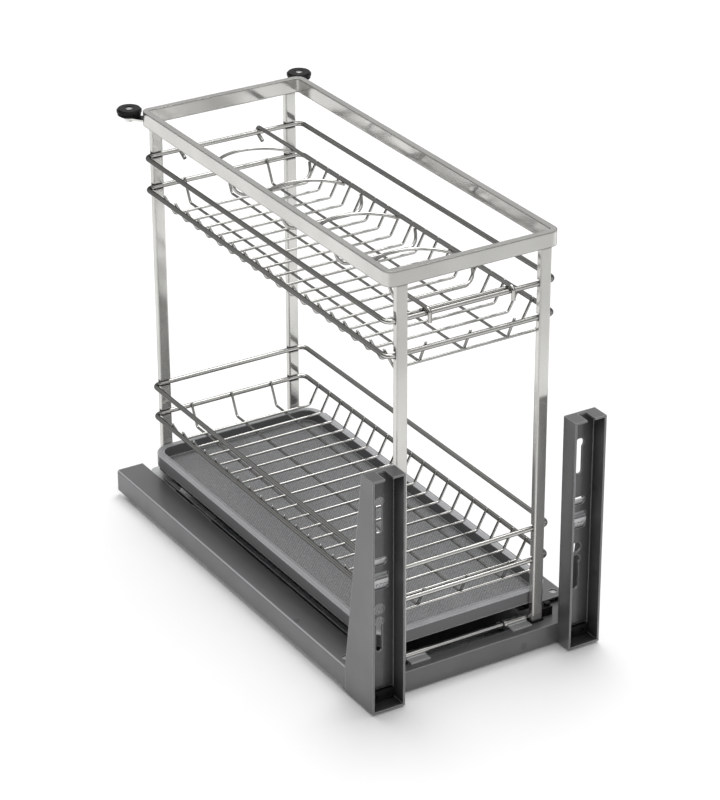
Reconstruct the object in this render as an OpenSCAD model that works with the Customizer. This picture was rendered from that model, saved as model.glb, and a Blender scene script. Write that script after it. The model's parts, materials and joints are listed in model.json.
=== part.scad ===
// Pull-out basket for a narrow base cabinet: two wire baskets on a frame of flat tube, a drip tray,
// a painted steel carriage with two door brackets, and a pair of full-extension runners.
// X runs across the cabinet, Y from the door into the cabinet, Z up.
// The origin is on the cabinet floor, in the middle of the unit.

/* [Cabinet] */
// Inside width of the cabinet between its side panels
cabinet_inner_w = 264; // [254:1:300]
// Gap between a side rail and the cabinet's side panel
cabinet_side_gap = 1; // [0.5:0.5:3]
// Depth from the back of the door to the rear edge of the guide rollers
overall_depth = 537; // [507:5:567]
// Distance of the side rails' rear end from the rear edge of the guide rollers
cover_rear_gap = 12; // [8:1:16]
// How far the basket pulls out
travel = 430; // [400:5:435]

/* [Painted steel carriage] */
// Thickness of the door brackets' and cross rail's sheet
sheet_t = 2; // [1.5:0.5:2.5]
// Width of the side rail covers
side_rail_w = 32; // [30:1:34]
// Height of the side rail covers
side_rail_h = 24; // [22:0.2:26]
// Thickness of the side rail covers' sheet
side_rail_t = 1.5; // [1:0.1:2]
// Bend radius of the side rail covers' top edges
side_rail_r = 2.5; // [2.2:0.1:4]
// Clearance of the side rail covers above the cabinet floor
side_rail_z = 5; // [4:0.5:8]
// Hole for the height screw near the front of each side rail cover
side_hole_d = 8; // [5:0.5:10]
// Height of the front cross rail's face
cross_face_h = 22; // [20:0.5:24]
// Depth of the front cross rail's top between the posts
cross_top_d = 14; // [13:0.5:14]
// Clearance of the front cross rail above the cabinet floor
cross_z = 1.5; // [1:0.5:3]

/* [Door brackets] */
// Width of a door bracket
bracket_w = 36; // [34:1:40]
// Depth of a door bracket's channel
bracket_d = 20; // [16:1:22]
// Height of a door bracket
bracket_h = 250; // [240:5:300]
// Clearance of a door bracket above the cabinet floor
bracket_z = 2; // [1.5:0.5:4]
// Depth of the outer wall where it meets the side rail cover
gusset_d = 51; // [46:1:54]
// Round hole at the top of a keyhole
keyhole_d = 10; // [8:0.5:11]
// Width of a keyhole's slot
keyhole_slot_w = 6.5; // [5:0.5:7]
// Round hole that takes the door's fixing bolt
door_hole_d = 11.5; // [8:0.5:12]
// Height of the door's fixing bolt above the cabinet floor
door_hole_z = 104; // [102:1:106]
// Size of the adjuster's window
adjuster_window = [20, 18];

/* [Top frame and posts] */
// Height of the top frame's upper face above the cabinet floor
frame_top_z = 440; // [430:1:600]
// Height of the top frame's tube
frame_h = 15; // [12:1:20]
// Thickness of the top frame's tube
frame_t = 7; // [6:0.5:9]
// Outer corner radius of the top frame
frame_r = 10; // [9:1:18]
// Distance of the frame's front from the door's back
frame_front_y = 32.5; // [31:0.5:33]
// Width of a post, across the cabinet
post_w = 12; // [10:1:14]
// Thickness of a post, along the cabinet
post_t = 7; // [6:0.5:8]
// Distance of a post's outer face from the side of the top frame
post_inset = 10; // [8:0.5:11]
// Edge radius of a post
post_r = 1.2; // [0.5:0.1:2]
// Height by which a post's notch is taller than the rail in it
notch_play = 1.5; // [0.5:0.1:2.5]
// Plastic under a post's end
foot_t = 2; // [1.5:0.5:3]

/* [Baskets] */
// Diameter of the rails
rail_d = 5; // [4.5:0.1:5.5]
// Bend radius of the rails' corners, at the wire's centre
rail_bend_r = 8; // [7:0.5:8]
// Height of the upper basket's top rail
upper_rail_z = 389; // [350:1:395]
// Height of the lower basket's top rail
lower_rail_z = 128; // [120:1:200]
// Distance between the two rails of a basket
rail_pitch = 35; // [30:1:45]
// Diameter of the basket's wires
wire_d = 2.7; // [2.4:0.1:3]
// Bend radius of the wires, at the centre
wire_bend_r = 4; // [3:0.5:5]
// Depth of a basket's floor below its lower rail
basket_drop = 18; // [16:1:24]
// Distance of the floor's edge from the rail's centre
basket_inset = 14; // [12:0.5:16]
// Number of wires across a basket
cross_wires = 19; // [14:1:22]
// Distance of the first cross wire from the front rail
cross_front = 9.5; // [9.5:0.1:10]
// Distance of the last cross wire from the rear rail
cross_rear = 35.5; // [22:0.5:40]
// Number of wires along a basket
long_wires = 3; // [2:1:4]
// Spacing of the wires along a basket
long_pitch = 49; // [30:1:50]
// Straight end of a hook below its rail
hook_tail = 3; // [2:0.5:5]

/* [Bottle insert] */
// Width between the insert's two side wires
insert_w = 92; // [80:1:100]
// Distance of the insert's middle from the basket's middle
insert_x = -3.5; // [-12:0.5:12]
// Diameter of the side wires and of the front wire
insert_d = 4; // [3.5:0.1:4.5]
// Diameter of the bottle rings
ring_d = 3.2; // [2.8:0.1:3.6]
// Number of bottle rings
rings = 4; // [1:1:4]
// Distance of the first ring's cradle from the front rail
ring_front = 66; // [60:1:70]
// Distance of the last ring's cradle from the rear rail
ring_rear = 102.5; // [98:0.5:108]
// Distance from a ring's cradle to the ends of its arc
ring_gap = 32; // [28:1:36]
// Height of a ring's arc over its ends
ring_rise = 33; // [28:1:38]
// Length of a cradle's legs
cradle_depth = 17.5; // [12:0.5:20]
// Lean of a cradle towards the door, in degrees
cradle_lean = 25; // [0:1:40]
// Bend radius of a cradle, at the wire's centre
cradle_r = 12; // [8:1:14]

/* [Drip tray] */
// Distance that the tray stands out past the basket on each side
tray_overhang = 6; // [2:0.5:8]
// Height of the tray's rim above the cabinet floor
tray_top_z = 56; // [54:0.5:60]
// Height of the tray's skirt
tray_h = 13.5; // [13:0.5:18]
// Wall of the tray
tray_wall = 2; // [1.5:0.1:2.5]
// Width of the tray's rim
tray_rim_w = 7.5; // [6:0.5:10]
// Outer corner radius of the tray
tray_r = 22; // [16:1:28]
// Depth of the basin inside
tray_depth = 12; // [9:0.5:12.5]
// Diameter of the tray's feet
tray_foot_d = 16; // [12:1:18]

/* [Guide rollers] */
// Diameter of a guide roller
roller_d = 26; // [22:1:27]
// Thickness of a guide roller
roller_h = 8.5; // [8:0.5:10]
// Offset of a roller's axis from the frame's side
roller_out = 5.5; // [5:0.5:8]
// Offset of a roller's axis behind the frame's rear
roller_back = 12; // [12:0.5:12.5]
// Diameter of the screw on which a roller turns
roller_screw_d = 5.1; // [4:0.1:5.2]
// Radial clearance of a roller on its screw
roller_clear = 0.06; // [0.03:0.01:0.1]

/* [Runners] */
// Distance of the runners' rear end from the side rails' rear end
runner_rear_gap = 38; // [36:1:42]
// Outside width of the cabinet member
runner_w = 26.8; // [26:0.1:27]
// Height of the cabinet member
runner_h = 12; // [11:0.5:13]
// Thickness of the runners' sheet
runner_t = 1.2; // [1:0.1:1.2]
// Thickness of the cabinet member's floor
runner_floor_t = 1.5; // [1.2:0.1:1.6]
// Distance of the first fixing hole from the front end of the cabinet member
runner_hole_front = 40; // [30:1:60]
// Grid of the fixing holes, whose spacing is a multiple of it
hole_grid = 32; // [16:16:32]
// Diameter of the fixing holes
runner_hole_d = 4.5; // [4:0.1:5]
// Diameter of the bearing balls
ball_d = 2.9; // [2.8:0.01:2.95]
// Number of balls in a row
balls = 5; // [3:1:8]
// Length of a ball cage
cage_l = 200; // [160:5:205]

/* [Cross rod] */
// Diameter of the rod between the runners
rod_d = 4.9; // [4:0.1:5]
// Outside diameter of the rod's sleeve
sleeve_d = 6.4; // [6:0.1:7]

/* [Hidden] */

// Smoothness of round shapes
$fn = 48;
// Overrun of every cut past the faces that it goes through
cut = 1;
// Gap between pieces that the real product welds, screws or clips together
seat = 0.1;
// Sinking of one wire into another where they are welded within one piece
weld_sink = 0.4;
// Bead round a joint between a straight and a bent length of wire, and the joint under it
bead_t = 0.02;
bead_l = 0.3;
joint_gap = 0.01;

// Main places
half_w = cabinet_inner_w / 2 - cabinet_side_gap;
frame_w = 2 * (half_w - bracket_w);
roller_y = overall_depth - roller_d / 2;
frame_rear_y = roller_y - roller_back;
cover_rear_y = overall_depth - cover_rear_gap;
side_rail_top = side_rail_z + side_rail_h;
cross_top_z = cross_z + cross_face_h;

// Side rails
side_inner_x = half_w - side_rail_w;
side_top_front_y = gusset_d + 2 * sheet_t;
end_plate_rear_y = side_top_front_y + 1.5 * sheet_t;
side_inner_front_y = end_plate_rear_y + seat;
side_hole_shares = [0.306, 1.4];
side_hole_place = [half_w - side_hole_shares[0] * side_rail_w,
                   side_top_front_y + side_hole_shares[1] * side_hole_d];

// Posts
post_outer_x = frame_w / 2 - post_inset;
post_x = post_outer_x - post_w / 2;
post_z = cross_top_z + foot_t;
post_top_z = frame_top_z - frame_h;
foot_margin = 1;
foot_back_t = 3.5;
foot_back_h = 8.5;

// Baskets
rail_x = frame_w / 2 - rail_d / 2;
rail_front_y = frame_front_y + post_t - rail_d / 2;
rail_rear_y = frame_rear_y - post_t + rail_d / 2;
wire_hook_r = rail_d / 2 + wire_d / 2 + seat;
floor_x = rail_x - basket_inset;
floor_front_y = rail_front_y + basket_inset;
floor_rear_y = rail_rear_y - basket_inset;
cross_pitch = (rail_rear_y - rail_front_y - cross_front - cross_rear) / (cross_wires - 1);
long_wire_drop = wire_d - weld_sink;

// Bottle insert
insert_z = rail_d / 2 + insert_d / 2 + seat;
insert_hook_r = insert_z;
insert_l = rail_rear_y - rail_front_y;
ring_pitch = rings > 1 ? (insert_l - ring_front - ring_rear) / (rings - 1) : 0;
insert_tail = 8;
insert_tip = 9;
insert_wrap = 60;
front_wire_back = 5.5;
ring_z = insert_z - insert_d / 2 - ring_d / 2 - seat;
ring_arc_r = (pow(insert_w / 2, 2) + pow(ring_rise, 2)) / (2 * ring_rise);
ring_arc_half = acos((ring_arc_r - ring_rise) / ring_arc_r);
cradle_taper = 2.5;
cradle_tilt = sqrt(1 - pow(cos(cradle_lean) * cradle_depth / norm([cradle_taper, cradle_depth]), 2));
cradle_z = insert_z - insert_d / 2 - seat - cradle_tilt * ring_d / 2;

// Drip tray
tray_half_w = frame_w / 2 + tray_overhang;
tray_front_y = frame_front_y + post_t + 5 * seat;
tray_rear_y = frame_rear_y - post_t - 5 * seat;
tray_floor_top = tray_top_z - tray_depth;
tray_lip = 0.8;
tray_foot_x_share = 0.61;
tray_foot_x = tray_foot_x_share * tray_half_w;
tray_foot_share = [0.12, 0.5, 0.88];

// Runners
runner_x = half_w - side_rail_w / 2;
runner_front_y = side_inner_front_y + sheet_t;
runner_l = cover_rear_y - runner_rear_gap - runner_front_y;
runner_hole_pitch = hole_grid * floor((runner_l - 2 * runner_hole_front) / hole_grid);
ball_gap = 3;
middle_half = runner_w / 2 - runner_t - ball_gap;
middle_clear = 0.5;
middle_z = runner_floor_t + middle_clear;
middle_h = 16;
member_end_gap = 2;
carriage_half = middle_half - runner_t - ball_gap;
carriage_clear = 1.8;
carriage_bottom_z = middle_z + runner_t + carriage_clear;
carriage_flange_z = side_rail_top - side_rail_t;
outer_ball_up = 5;
inner_ball_up = 9;
outer_ball_z = middle_z + outer_ball_up;
inner_ball_z = middle_z + inner_ball_up;
cage_strip = [1, 5];
outer_cage_shift = 2;
inner_cage_shift = 5;
outer_cage_y = runner_front_y + travel / 4 + outer_cage_shift;
inner_cage_y = runner_front_y + travel / 4 + inner_cage_shift;

// Inner rails, base plate and rear cross rail
tray_rail_gap = 2.8;
tray_rail_x = side_inner_x - tray_rail_gap;
tray_rail_z = 10;
tray_rail_h = 18;
tray_rail_flange = 12;
rear_rail_back = 40;
rear_rail_y = cover_rear_y - rear_rail_back;
rear_rail_d = 34;
rear_rail_t = 1.6;
rear_rail_r = 8;
base_margin = 5;
base_half = post_outer_x - base_margin;
base_z = 15.8;
base_t = 1.2;
base_front_y = side_top_front_y + seat;
lug_l = 40;
lug_over = 5;
lug_from_rear = [7, 86];

// Cross rod
rod_y = frame_front_y + post_t + 2 * seat + rod_d / 2;
rod_z = cross_top_z + seat + rod_d / 2;
clip_t = 1.6;
clip_w = 22;
clip_gap = 2;
clip_x = post_outer_x - post_w - foot_margin - clip_gap - clip_w / 2;
clip_front = 4;
clip_back = 6;
clip_front_y = frame_front_y - clip_front;
clip_rear_y = rod_y + clip_back;
clip_foot = 12;
cross_end_x = clip_x + clip_w / 2 + 5 * seat;
rod_block = [13, 11, 9];
rod_block_x = post_outer_x + 2 * foot_margin;
rod_half = rod_block_x + rod_block[0] / 2;
rod_clear = 0.05;
collar_d = 9;
collar_l = 3;
sleeve_x = [clip_x - clip_w / 2 - 5 * seat - collar_l, cross_end_x - seat];
hex_share = 0.75;
hex_d = 7;
hex_h = 3;

// Door brackets: heights of the openings, as shares of the bracket's height from its bottom
keyhole_shares = [0.867, 0.354];
keyhole_slot_shares = [0.734, 0.222];
oval_share = 0.614;
adjuster_share = 0.529;
block_share = 0.034;
oval_size = [17, 8.5];
block_window = [28, 12];
notch_w = 9;
notch_rear = 4;
adjuster_plate = [27, 2.5, 42];
adjuster_neck = [19.4, 10];
adjuster_bar = [16, 3.5, 4];
tooth = [2, 1, 2.5];
teeth = 4;

// Guide rollers
roller_x = frame_w / 2 + roller_out;
arm_t = 2;
arm_w = 12;
arm_drop = 11.5;
arm_z = frame_top_z - arm_drop;
roller_z = arm_z + arm_t + 3 * seat;
screw_head_d = 7.5;
screw_head_h = 1.4;
roller_cup_d = 9;
roller_cup_h = 2;
nut_d = 9;
nut_h = 3;

// Colours
steel_paint = [0.44, 0.44, 0.45];
bright_steel = [0.80, 0.79, 0.77];
zinc = [0.70, 0.71, 0.72];
black_plastic = [0.08, 0.08, 0.08];
tray_plastic = [0.30, 0.30, 0.31];

// Moves what is drawn from the door's back to the part's own origin
module from_door() {
    translate([0, -overall_depth / 2, 0]) children();
}

// Mirrors a right-hand piece to the left
module left_hand() {
    mirror([1, 0, 0]) children();
}

// Draws in the plane across the cabinet: the outline's y becomes the height
module in_xz(y) {
    translate([0, y, 0]) rotate([90, 0, 0]) children();
}

// Draws in the plane along the cabinet: the outline's x becomes the depth, its y the height
module in_yz(x) {
    translate([x, 0, 0]) rotate([90, 0, 90]) children();
}

// Rectangle with rounded corners, from its lower left corner
module rounded_rect(size, r) {
    translate([r, 0]) square([size[0] - 2 * r, size[1]]);
    translate([0, r]) square([size[0], size[1] - 2 * r]);
    for (x = [r, size[0] - r], y = [r, size[1] - r])
        translate([x, y]) circle(r = r);
}

// Slot with round ends, centred, along x
module slot_shape(length, width) {
    square([length - width, width], center = true);
    for (s = [-1, 1]) translate([s * (length - width) / 2, 0]) circle(d = width);
}

// Channel open at the bottom, with rounded top edges
module channel_outline(w, h, t, r) {
    difference() {
        union() {
            square([w, h - r]);
            translate([r, 0]) square([w - 2 * r, h]);
            for (x = [r, w - r]) translate([x, h - r]) circle(r = r);
        }
        translate([t, -cut]) square([w - 2 * t, h - r + cut]);
        translate([r, -cut]) square([w - 2 * r, h - t + cut]);
        for (x = [r, w - r]) translate([x, h - r]) circle(r = r - t);
    }
}

function unit(v) = v / norm(v);
function turn(a, b) = atan2(a[0] * b[1] - a[1] * b[0], a[0] * b[0] + a[1] * b[1]);

// Straight wire between two points of the drawing plane
module wire_line(from, to, d) {
    way = to - from;
    translate([from[0], from[1], 0]) rotate([0, 90, atan2(way[1], way[0])]) cylinder(h = norm(way), d = d);
}

// Wire along an arc about a centre, from one angle round to a larger one; a fine bead closes each joined end
module wire_arc(centre, r, from, to, d, joined = [1, 1]) {
    slack = joint_gap / r * 180 / PI;
    translate([centre[0], centre[1], 0]) {
        rotate([0, 0, from + joined[0] * slack])
            rotate_extrude(angle = to - from - (joined[0] + joined[1]) * slack)
                translate([r, 0]) circle(d = d);
        for (end = [0, 1]) if (joined[end] == 1) rotate([0, 0, end == 0 ? from : to]) translate([r, 0, 0])
            rotate([90, 0, 0]) cylinder(h = bead_l, d = d + 2 * bead_t, center = true);
    }
}

// Wire bent along a path of points, with round bends; a closed one joins its ends
module bent_wire(path, d, bend_r, closed = false) {
    n = len(path);
    function at(i) = path[(i + n) % n];
    function way(i) = unit(at(i + 1) - at(i));
    function bent(i) = closed || (i > 0 && i < n - 1);
    function bend(i) = bent(i) ? turn(way(i - 1), way(i)) : 0;
    function trim(i) = bend_r * tan(abs(bend(i)) / 2);
    for (i = [0 : closed ? n - 1 : n - 2])
        wire_line(at(i) + trim(i) * way(i), at(i + 1) - trim((i + 1) % n) * way(i), d);
    for (i = [0 : n - 1]) if (bent(i)) {
        side = bend(i) > 0 ? 1 : -1;
        start = at(i) - trim(i) * way(i - 1);
        normal = side * [-way(i - 1)[1], way(i - 1)[0]];
        start_angle = atan2(-normal[1], -normal[0]);
        wire_arc(start + bend_r * normal, bend_r,
                 min(start_angle, start_angle + bend(i)), max(start_angle, start_angle + bend(i)), d);
    }
}

// Side of a basket wire: from the floor's edge up to the rail at [rail, 0], over it and down outside.
// The floor lies at [rail - basket_inset, -drop]; it is drawn for a rail on the outline's right.
module hooked_leg(rail, drop) {
    reach = norm([basket_inset, drop]);
    lean = atan2(drop, basket_inset) + asin(wire_hook_r / reach);
    leg = sqrt(reach * reach - wire_hook_r * wire_hook_r);
    knee = [rail - basket_inset, -drop];
    trim = wire_bend_r * tan(lean / 2);
    wire_arc(knee + [-trim, wire_bend_r], wire_bend_r, -90, lean - 90, wire_d, [0, 1]);
    wire_line(knee + trim * [cos(lean), sin(lean)], knee + leg * [cos(lean), sin(lean)], wire_d);
    wire_arc([rail, 0], wire_hook_r, 0, lean + 90, wire_d);
    wire_line([rail + wire_hook_r, 0], [rail + wire_hook_r, -hook_tail], wire_d);
}

// How far a hooked leg's bend reaches into the floor from the knee
function knee_trim(drop) =
    wire_bend_r * tan((atan2(drop, basket_inset) + asin(wire_hook_r / norm([basket_inset, drop]))) / 2);

function cross_y(i) = rail_front_y + cross_front + i * cross_pitch;
function long_x(i) = (i - (long_wires - 1) / 2) * long_pitch;

// The two rails of a basket, the top one at z
module basket_rails(z) {
    corners = [[-rail_x, rail_front_y], [rail_x, rail_front_y],
               [rail_x, rail_rear_y], [-rail_x, rail_rear_y]];
    color(bright_steel) from_door() for (level = [z, z - rail_pitch])
        translate([0, 0, level]) bent_wire(corners, rail_d, rail_bend_r, closed = true);
}

// The flat grid of a basket whose lower rail is at z
module basket_floor(z) {
    across = floor_x - knee_trim(basket_drop);
    along = knee_trim(basket_drop + long_wire_drop);
    color(bright_steel) from_door() union() {
        for (i = [0 : cross_wires - 1])
            translate([-across, cross_y(i), z - basket_drop]) rotate([0, 90, 0])
                cylinder(h = 2 * across, d = wire_d);
        for (i = [0 : long_wires - 1])
            translate([long_x(i), floor_front_y + along, z - basket_drop - long_wire_drop])
                rotate([-90, 0, 0]) cylinder(h = floor_rear_y - floor_front_y - 2 * along, d = wire_d);
    }
}

// The hooked ends of the cross wires, on both sides
module basket_side_wires(z) {
    color(bright_steel) from_door() for (side = [0, 1]) mirror([side, 0, 0])
        for (i = [0 : cross_wires - 1])
            translate([0, 0, z]) in_xz(cross_y(i)) hooked_leg(rail_x, basket_drop);
}

// The hooked ends of the wires along the basket, at the front and the rear
module basket_end_wires(z) {
    color(bright_steel) from_door() for (i = [0 : long_wires - 1], end = [0, 1])
        translate([0, end * (rail_front_y + rail_rear_y), z]) mirror([0, end, 0])
            in_yz(long_x(i)) hooked_leg(rail_rear_y, basket_drop + long_wire_drop);
}

// Places the bottle insert's pieces: x from its middle, y from the front rail, z from the rails' centre
module insert_place() {
    from_door() translate([insert_x, rail_front_y, upper_rail_z]) children();
}

// Two long wires that hang over the rails, and the front wire that joins them
module insert_side_wires() {
    tip = [insert_l + insert_hook_r * cos(insert_wrap), -insert_hook_r * sin(insert_wrap)];
    color(bright_steel) insert_place() union() {
        for (side = [-1, 1]) in_yz(side * insert_w / 2) {
            wire_line([-insert_hook_r, -insert_tail], [-insert_hook_r, 0], insert_d);
            wire_arc([0, 0], insert_hook_r, 90, 180, insert_d);
            wire_line([0, insert_hook_r], [insert_l, insert_hook_r], insert_d);
            wire_arc([insert_l, 0], insert_hook_r, -insert_wrap, 90, insert_d);
            wire_line(tip, tip - insert_tip * [sin(insert_wrap), cos(insert_wrap)], insert_d);
        }
        translate([-insert_w / 2 - insert_d, front_wire_back, insert_z - insert_d + weld_sink])
            rotate([0, 90, 0]) cylinder(h = insert_w + 2 * insert_d, d = insert_d);
    }
}

// A level arc that holds a bottle from behind, and the lower cradle that holds it from the front
module bottle_ring(number) {
    y = ring_front + (number - 1) * ring_pitch;
    foot = insert_w / 2 - cradle_taper;
    path = [[-insert_w / 2, 0], [-foot, -cradle_depth], [foot, -cradle_depth], [insert_w / 2, 0]];
    color(bright_steel) insert_place() {
        translate([0, y + ring_gap + ring_rise - ring_arc_r, ring_z])
            wire_arc([0, 0], ring_arc_r, 90 - ring_arc_half, 90 + ring_arc_half, ring_d, [0, 0]);
        translate([0, y, cradle_z]) rotate([90 - cradle_lean, 0, 0]) bent_wire(path, ring_d, cradle_r);
    }
}

// Closed loop of flat tube on top of the posts
module top_frame() {
    size = [frame_w, frame_rear_y - frame_front_y];
    color(bright_steel) from_door() translate([-frame_w / 2, frame_front_y, post_top_z])
        linear_extrude(frame_h) difference() {
            rounded_rect(size, frame_r);
            translate([frame_t, frame_t]) rounded_rect(size - [2 * frame_t, 2 * frame_t], frame_r - frame_t);
        }
}

// A post of flat tube whose front face is at y, notched where the basket rails at rail_y lie flush in it
module post(y, rail_y) {
    rails = [for (top = [upper_rail_z, lower_rail_z], down = [0, rail_pitch]) top - down];
    low = rail_d / 2 + seat;
    color(bright_steel) from_door() difference() {
        translate([post_x - post_w / 2, y, post_z])
            linear_extrude(post_top_z - post_z) rounded_rect([post_w, post_t], post_r);
        for (z = rails) translate([post_x - post_w / 2 - cut, rail_y - low, z - low])
            cube([post_w + 2 * cut, 2 * low, 2 * low + notch_play]);
    }
}

// Plastic foot under a post; a rear one has a stop against the post's face on the basket's side
module foot(y, rear) {
    w = post_w + 2 * foot_margin;
    base_y = rear ? y - foot_back_t : y - foot_margin;
    back_y = rear ? y + post_t + foot_margin : y + post_t;
    color(black_plastic) from_door() translate([post_x - w / 2, base_y, cross_top_z]) union() {
        cube([w, back_y - base_y, foot_t]);
        if (rear) cube([w, foot_back_t, foot_back_h]);
    }
}

// Painted sheet channel that carries the door: web with openings, a narrow inner wall, a deep outer wall
module door_bracket() {
    inner_x = half_w - bracket_w;
    top = bracket_z + bracket_h;
    color(steel_paint) from_door() union() {
        in_xz(bracket_d) linear_extrude(sheet_t) difference() {
            translate([inner_x, bracket_z]) square([bracket_w, bracket_h]);
            translate([inner_x + bracket_w / 2, bracket_z]) bracket_openings();
        }
        translate([inner_x, 0, bracket_z]) cube([sheet_t, bracket_d, bracket_h]);
        in_yz(half_w - sheet_t) linear_extrude(sheet_t)
            polygon([[0, bracket_z], [gusset_d, bracket_z], [gusset_d, side_rail_top],
                     [bracket_d, top], [0, top]]);
        translate([inner_x, 0, bracket_z]) cube([bracket_w, bracket_d, sheet_t]);
        translate([inner_x, 0, top - sheet_t]) linear_extrude(sheet_t) difference() {
            square([bracket_w, bracket_d]);
            translate([(bracket_w - notch_w) / 2, -cut]) square([notch_w, bracket_d - notch_rear + cut]);
        }
    }
}

// Openings in the web, seen from the front, from the middle of its lower edge
module bracket_openings() {
    for (i = [0, 1]) {
        hole = keyhole_shares[i] * bracket_h;
        slot_end = keyhole_slot_shares[i] * bracket_h + keyhole_slot_w / 2;
        translate([0, hole]) circle(d = keyhole_d);
        translate([0, slot_end]) circle(d = keyhole_slot_w);
        translate([-keyhole_slot_w / 2, slot_end]) square([keyhole_slot_w, hole - slot_end]);
    }
    translate([0, oval_share * bracket_h]) slot_shape(oval_size[0], oval_size[1]);
    translate([-adjuster_window[0] / 2, adjuster_share * bracket_h - adjuster_window[1] / 2])
        rounded_rect(adjuster_window, 2 * post_r);
    translate([0, door_hole_z - bracket_z]) circle(d = door_hole_d);
    translate([-block_window[0] / 2, block_share * bracket_h - block_window[1] / 2]) square(block_window);
}

// Slider behind the web, whose bar and teeth show in the window
module door_adjuster() {
    z = bracket_z + adjuster_share * bracket_h;
    x = half_w - bracket_w / 2;
    neck_y = bracket_d - sheet_t;
    color(zinc) from_door() translate([x, 0, z]) union() {
        translate([-adjuster_plate[0] / 2, bracket_d + seat, -adjuster_plate[2] / 2]) cube(adjuster_plate);
        translate([-adjuster_neck[0] / 2, neck_y, -adjuster_neck[1] / 2])
            cube([adjuster_neck[0], sheet_t + seat + adjuster_plate[1] / 2, adjuster_neck[1]]);
        translate([-adjuster_bar[0] / 2, neck_y - adjuster_bar[1], 0]) cube(adjuster_bar + [0, seat, 0]);
        for (i = [0 : teeth - 1])
            translate([(i - (teeth - 1) / 2) * 2 * tooth[0] - tooth[0] / 2, neck_y - tooth[1], -2 * tooth[2]])
                cube(tooth + [0, seat, 0]);
    }
}

// Plastic block in the lowest window of the web
module bracket_block() {
    size = block_window - [6 * seat, 6 * seat];
    z = bracket_z + block_share * bracket_h;
    color(black_plastic) from_door() translate([half_w - bracket_w / 2, 0, z]) difference() {
        translate([-size[0] / 2, bracket_d - 3 * sheet_t, -size[1] / 2])
            cube([size[0], 3 * sheet_t, size[1]]);
        for (s = [-1, 1]) translate([s * size[0] / 4, bracket_d - 3 * sheet_t - cut, 0])
            rotate([-90, 0, 0]) cylinder(h = cut + sheet_t, d = keyhole_slot_w);
    }
}

// Painted cross rail between the brackets: face, top with two deeper ends that carry the posts, rear lip
module front_cross_rail() {
    half = half_w - sheet_t;
    color(steel_paint) from_door() union() {
        translate([-half, bracket_d, cross_z]) cube([2 * half, sheet_t, cross_face_h]);
        translate([-half, bracket_d, cross_top_z - sheet_t]) cube([2 * half, cross_top_d, sheet_t]);
        for (x = [-half, cross_end_x]) translate([x, bracket_d, cross_top_z - sheet_t])
            cube([half - cross_end_x, end_plate_rear_y - bracket_d, sheet_t]);
        translate([-cross_end_x, bracket_d + cross_top_d - sheet_t, cross_z + cross_face_h / 2])
            cube([2 * cross_end_x, sheet_t, cross_face_h / 2]);
    }
}

// Painted cover over a runner
module side_rail() {
    inner_h = side_rail_h - side_rail_t;
    color(steel_paint) from_door() difference() {
        translate([side_inner_x, cover_rear_y, side_rail_z]) rotate([90, 0, 0])
            linear_extrude(cover_rear_y - gusset_d)
                channel_outline(side_rail_w, side_rail_h, side_rail_t, side_rail_r);
        translate([side_inner_x - cut, gusset_d - cut, side_rail_z - cut])
            cube([side_rail_w - side_rail_t + cut, side_top_front_y - gusset_d + cut, side_rail_h + 2 * cut]);
        translate([side_inner_x - cut, gusset_d - cut, side_rail_z - cut])
            cube([side_rail_w / 2, side_inner_front_y - gusset_d + cut, inner_h - side_rail_r + cut]);
        translate([side_hole_place[0], side_hole_place[1], side_rail_z + inner_h / 2])
            cylinder(h = side_rail_h, d = side_hole_d);
    }
}

// Zinc-plated plate across the rear, on which the rear posts stand
module rear_cross_rail() {
    half = tray_rail_x;
    tab_l = rear_rail_d / 2;
    color(zinc) from_door() union() {
        translate([-half, rear_rail_y, cross_top_z - rear_rail_t]) linear_extrude(rear_rail_t) {
            translate([0, rear_rail_r]) rounded_rect([2 * half, rear_rail_d - rear_rail_r], rear_rail_r);
            square([2 * half, rear_rail_d / 2]);
        }
        translate([-side_inner_x, rear_rail_y + rear_rail_d / 4, cross_top_z - rear_rail_t])
            cube([2 * side_inner_x, tab_l, rear_rail_t]);
        translate([-half, rear_rail_y, tray_rail_z]) cube([2 * half, rear_rail_t, cross_top_z - tray_rail_z]);
    }
}

// Sheet floor between the runners, under the tray
module base_plate() {
    color(steel_paint) from_door() translate([-base_half, base_front_y, base_z])
        cube([2 * base_half, rear_rail_y - base_front_y, base_t]);
}

// Zinc-plated angle beside a side rail, with two lugs that join it to the cover
module tray_rail() {
    l = rear_rail_y - end_plate_rear_y;
    lug_w = side_inner_x - tray_rail_x + runner_t + lug_over;
    color(zinc) from_door() union() {
        translate([tray_rail_x - runner_t, end_plate_rear_y, tray_rail_z]) cube([runner_t, l, tray_rail_h]);
        translate([tray_rail_x - tray_rail_flange, end_plate_rear_y, tray_rail_z])
            cube([tray_rail_flange, l, runner_t]);
        for (from_rear = lug_from_rear)
            translate([side_inner_x, rear_rail_y - from_rear, tray_rail_z + tray_rail_h - 3 * runner_t])
                intersection() {
                    translate([-lug_w, -lug_l / 2, 0]) cube([lug_w, lug_l, runner_t]);
                    translate([-lug_w / 2, 0, 0]) cylinder(h = runner_t, d = lug_l);
                }
    }
}

// U-shaped member that is screwed to the cabinet floor
module cabinet_runner() {
    color(zinc) from_door() translate([runner_x - runner_w / 2, runner_front_y, 0]) difference() {
        cube([runner_w, runner_l, runner_h]);
        translate([runner_t, -cut, runner_floor_t])
            cube([runner_w - 2 * runner_t, runner_l + 2 * cut, runner_h]);
        for (y = [0, runner_hole_pitch])
            translate([runner_w / 2, runner_hole_front + y, -cut])
                cylinder(h = runner_floor_t + 2 * cut, d = runner_hole_d);
    }
}

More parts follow.
